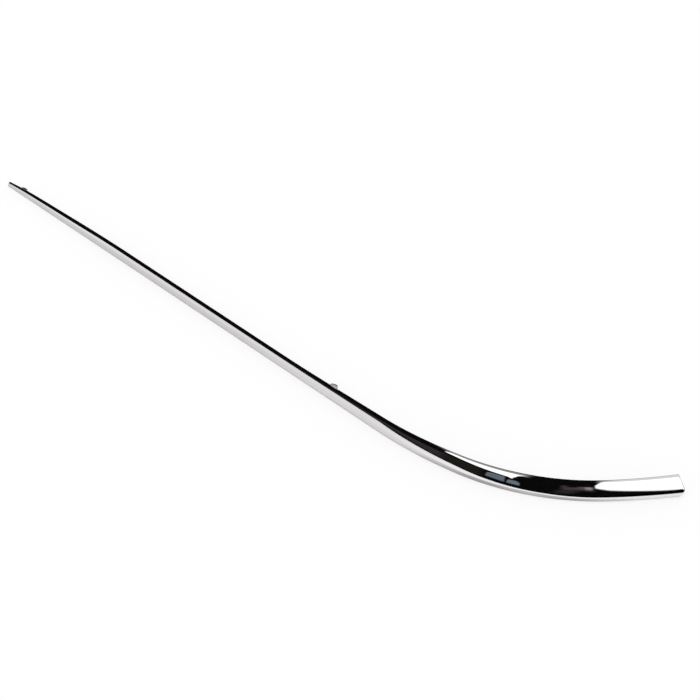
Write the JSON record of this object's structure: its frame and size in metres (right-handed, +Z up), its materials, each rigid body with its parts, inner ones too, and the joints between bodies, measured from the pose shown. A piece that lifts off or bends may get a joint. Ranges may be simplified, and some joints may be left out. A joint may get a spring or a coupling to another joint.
{
  "type": "bumper trim strip",
  "caption": "Slim chrome bumper moulding that runs straight from a thin tip, widens and bends round the corner to a slant-cut end, with snap hooks behind.",
  "frame": {"origin": "on the underside, on the path of the strip, where the straight run ends and the bend starts", "axes": "+X along the straight run towards the bend, +Y behind the strip, into the bumper, +Z up; the outer face looks towards -Y"},
  "size_m": [0.8928, 0.1455, 0.0195],
  "materials": {
    "chrome": "bright chrome plate over moulded plastic, mirror gloss on the face, duller plate behind"
  },
  "bodies": {
    "root": {"chrome_trim": "chrome"}
  },
  "joints": []
}
